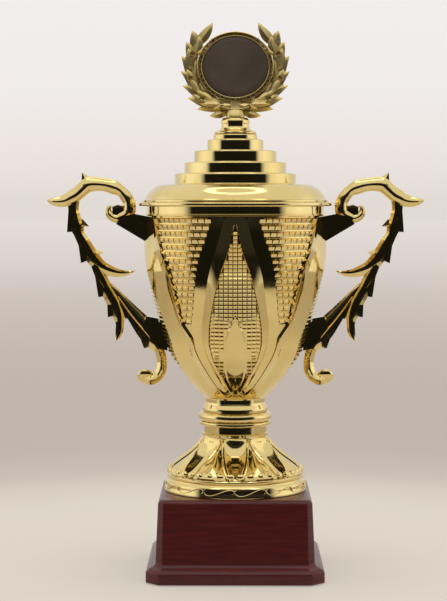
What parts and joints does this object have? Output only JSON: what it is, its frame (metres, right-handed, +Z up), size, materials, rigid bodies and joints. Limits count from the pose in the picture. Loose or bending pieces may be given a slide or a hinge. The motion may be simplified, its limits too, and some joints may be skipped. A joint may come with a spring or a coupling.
{
  "type": "cup trophy",
  "caption": "Lidded presentation cup with thorned scroll handles, a studded bowl, a petalled foot, a square plinth and a laurel wreath that frames a blank medallion.",
  "frame": {"origin": "centre of the felt's underside, where the trophy stands", "axes": "+Z up the trophy's axis, the medallion faces -Y, the handles stand out along X"},
  "size_m": [0.2798, 0.1434, 0.4062],
  "materials": {
    "gold": "vacuum-metallised pale gold on moulded ABS, mirror gloss",
    "plinth": "moulded red-brown rosewood effect, high gloss",
    "disc": "satin dark brown-black",
    "zinc_steel": "zinc plated",
    "plaster": "cast plaster",
    "fibreboard": "hard-pressed fibreboard",
    "felt": "dark green felt",
    "foam": "white foam tape"
  },
  "bodies": {
    "cup": {"base_cover": "fibreboard", "base_felt": "felt", "base_nut": "zinc_steel", "base_shell": "plinth", "base_washer": "zinc_steel", "base_weight": "plaster", "bowl": "gold", "bowl_nut": "zinc_steel", "bowl_washer": "zinc_steel", "cover_screws": "zinc_steel", "foot_bell": "gold", "handle_left": "gold", "handle_right": "gold", "handle_screws_left": "zinc_steel", "handle_screws_right": "zinc_steel", "rim_band": "gold", "stem_bead": "gold", "stem_ring": "gold", "tie_rod": "zinc_steel"},
    "lid": {"disc_adhesive": "foam", "finial_knob": "gold", "lid": "gold", "medallion_disc": "disc", "topper_nut": "zinc_steel", "topper_stud": "zinc_steel", "topper_washer": "zinc_steel", "wreath": "gold"}
  },
  "joints": [
    {"name": "lid_lift", "type": "slide", "parent": "cup", "child": "lid", "axis": [0, 0, 1], "range_m": [0, 0.06]}
  ]
}
